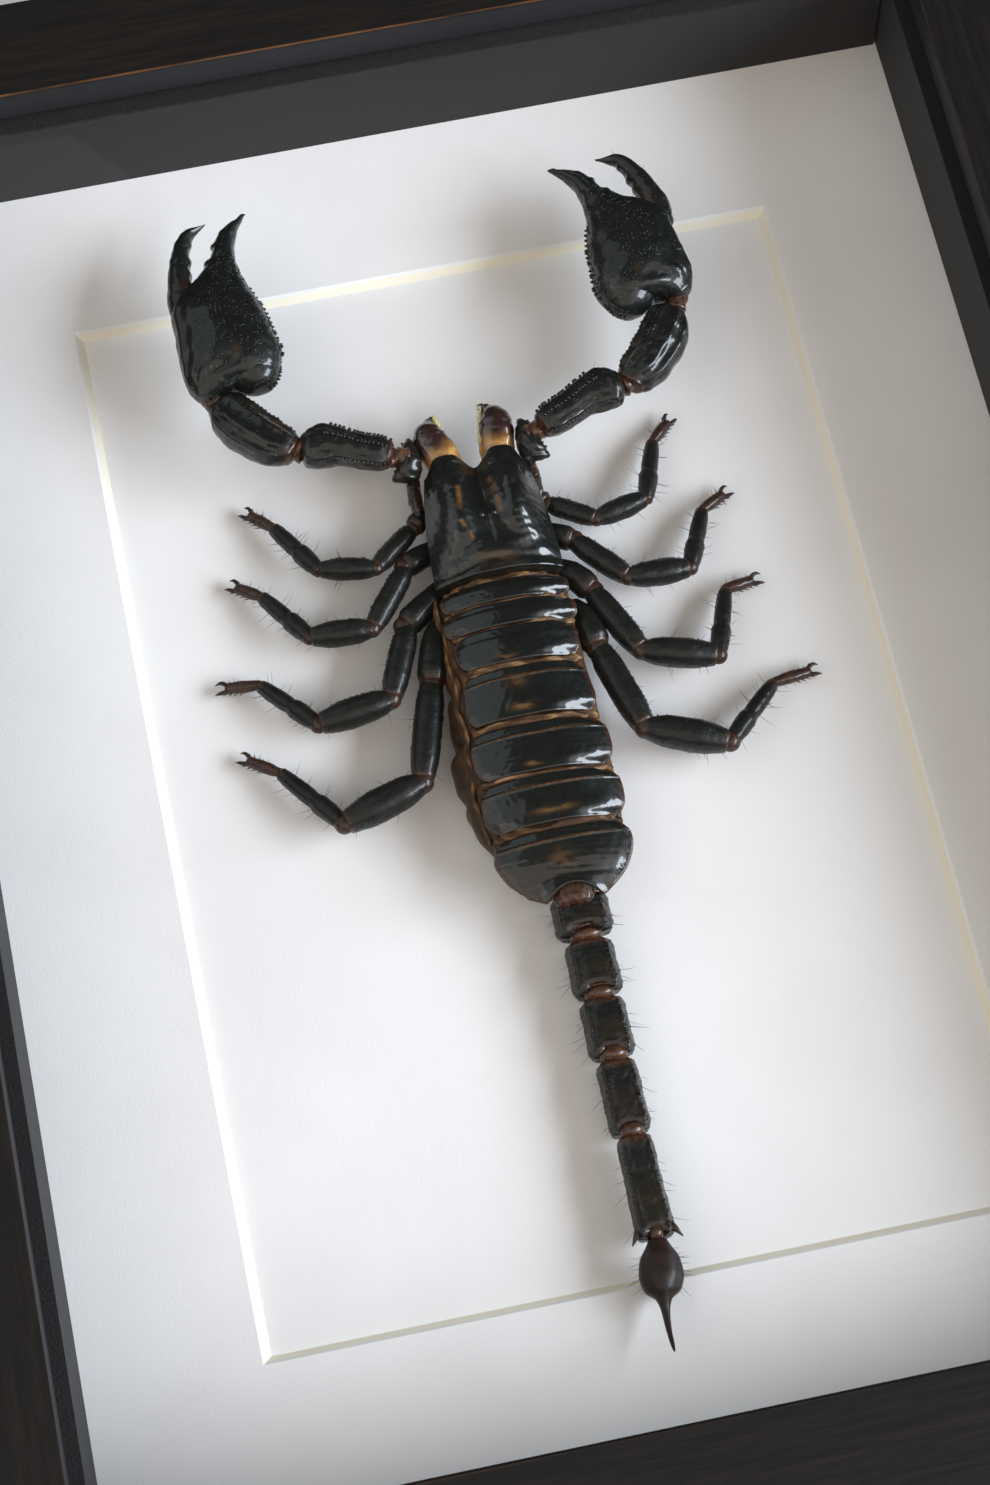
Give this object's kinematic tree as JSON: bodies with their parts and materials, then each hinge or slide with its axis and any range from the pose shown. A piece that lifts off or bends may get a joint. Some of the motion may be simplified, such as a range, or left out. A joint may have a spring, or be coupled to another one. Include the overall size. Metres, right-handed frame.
{
  "type": "framed scorpion specimen",
  "caption": "Dried dark forest scorpion mounted flat on white card behind a bevelled mat, in a black wooden box frame with spacers and glass, for display on a wall or shelf.",
  "frame": {"origin": "on the table under the middle of the frame", "axes": "+X to the right as the specimen is looked at, +Y towards the scorpion's head, +Z out through the glass"},
  "size_m": [0.178, 0.228, 0.032],
  "materials": {
    "black_wood": "black stain, satin, worn brown on the sharp edges",
    "clear_glass": "clear float glass",
    "black_board": "matt black board with a fuzzy cut edge",
    "mat_card": "fine toothed white face, cream core at the bevel",
    "backing_card": "smooth white card",
    "hardboard": "brown hardboard",
    "plain_steel": "zinc plated",
    "black_chitin": "glossy green-black chitin",
    "brown_skin": "dry wrinkled brown skin",
    "amber_chitin": "amber base, dark red tips",
    "red_chitin": "dark red-brown, satin"
  },
  "bodies": {
    "root": {"frame_rail_left": "black_wood", "frame_rail_bottom": "black_wood", "frame_rail_right": "black_wood", "frame_rail_top": "black_wood", "glass_pane": "clear_glass", "spacer_left": "black_board", "spacer_right": "black_board", "spacer_bottom": "black_board", "spacer_top": "black_board", "mat_board": "mat_card", "backing_board": "backing_card", "back_panel": "hardboard", "back_tab_left_lower": "plain_steel", "back_tab_left_upper": "plain_steel", "back_tab_right_lower": "plain_steel", "back_tab_right_upper": "plain_steel", "back_tab_bottom": "plain_steel", "back_tab_top": "plain_steel", "hanger_plate": "plain_steel", "carapace": "black_chitin", "abdomen": "brown_skin", "back_plate_1": "black_chitin", "back_plate_2": "black_chitin", "back_plate_3": "black_chitin", "back_plate_4": "black_chitin", "back_plate_5": "black_chitin", "back_plate_6": "black_chitin", "back_plate_7": "black_chitin", "tail_segment_1": "black_chitin", "tail_segment_2": "black_chitin", "tail_segment_3": "black_chitin", "tail_segment_4": "black_chitin", "tail_segment_5": "black_chitin", "stinger": "red_chitin", "jaw_left": "amber_chitin", "jaw_right": "amber_chitin", "arm_left_shoulder": "black_chitin", "arm_left_upper_arm": "black_chitin", "arm_left_forearm": "black_chitin", "arm_left_hand": "black_chitin", "arm_left_finger": "black_chitin", "arm_right_shoulder": "black_chitin", "arm_right_upper_arm": "black_chitin", "arm_right_forearm": "black_chitin", "arm_right_hand": "black_chitin", "arm_right_finger": "black_chitin", "leg_left_1": "black_chitin", "leg_left_2": "black_chitin", "leg_left_3": "black_chitin", "leg_left_4": "black_chitin", "leg_right_1": "black_chitin", "leg_right_2": "black_chitin", "leg_right_3": "black_chitin", "leg_right_4": "black_chitin"}
  },
  "joints": []
}
